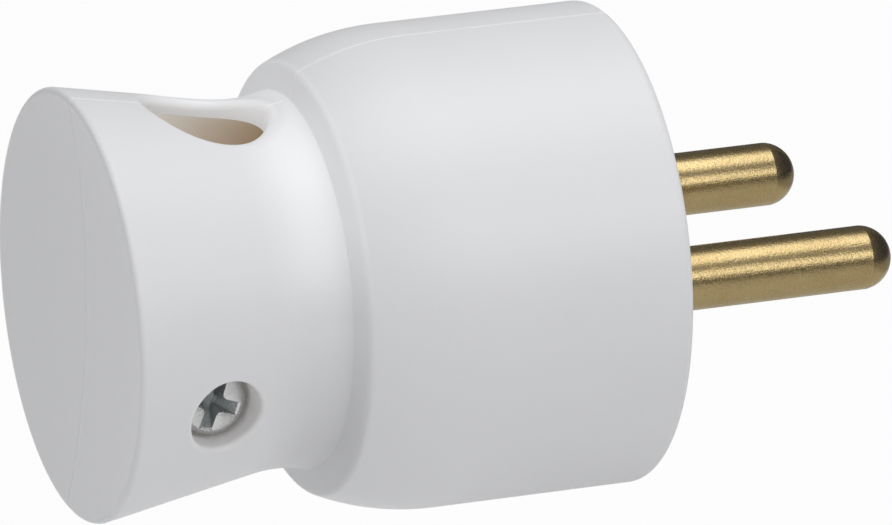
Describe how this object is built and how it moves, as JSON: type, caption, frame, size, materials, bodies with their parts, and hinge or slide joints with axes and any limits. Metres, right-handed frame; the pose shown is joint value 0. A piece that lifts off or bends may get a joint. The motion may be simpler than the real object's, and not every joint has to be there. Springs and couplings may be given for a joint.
{
  "type": "angled mains plug",
  "caption": "Rewirable earthed mains plug: round white body, waisted neck and flared, hollow-faced rear, cable outlet in the side of the flare, round brass pins, earth socket.",
  "frame": {"origin": "centre of the front face, which lies against the socket", "axes": "+X along the pins towards the socket, +Z out of the cable outlet's side, +Y across the pins, so the earth hole is below the pins; the plug is shown as it sits in a wall socket"},
  "size_m": [0.0615, 0.0362, 0.0362],
  "materials": {
    "shell_plastic": "satin white moulding",
    "carrier_plastic": "fine matt white moulding",
    "contact_brass": "turned, plain brass",
    "zinc_steel": "bright zinc plating",
    "spring_steel": "plain spring steel",
    "keeper_fibre": "pressed fibre"
  },
  "bodies": {
    "root": {"screw_side_shell": "shell_plastic", "boss_side_shell": "shell_plastic", "closing_screw": "zinc_steel", "closing_screw_keeper": "keeper_fibre", "contact_carrier": "carrier_plastic", "retaining_plate": "carrier_plastic", "retaining_plate_screw": "zinc_steel", "near_contact_pin": "contact_brass", "far_contact_pin": "contact_brass", "wire_clamp_screws": "zinc_steel", "earth_contact": "contact_brass", "earth_spring_ring": "spring_steel", "earth_clamp_washer": "zinc_steel", "earth_clamp_screw": "zinc_steel", "cord_grip_bar": "carrier_plastic", "cord_grip_screws": "zinc_steel"}
  },
  "joints": []
}
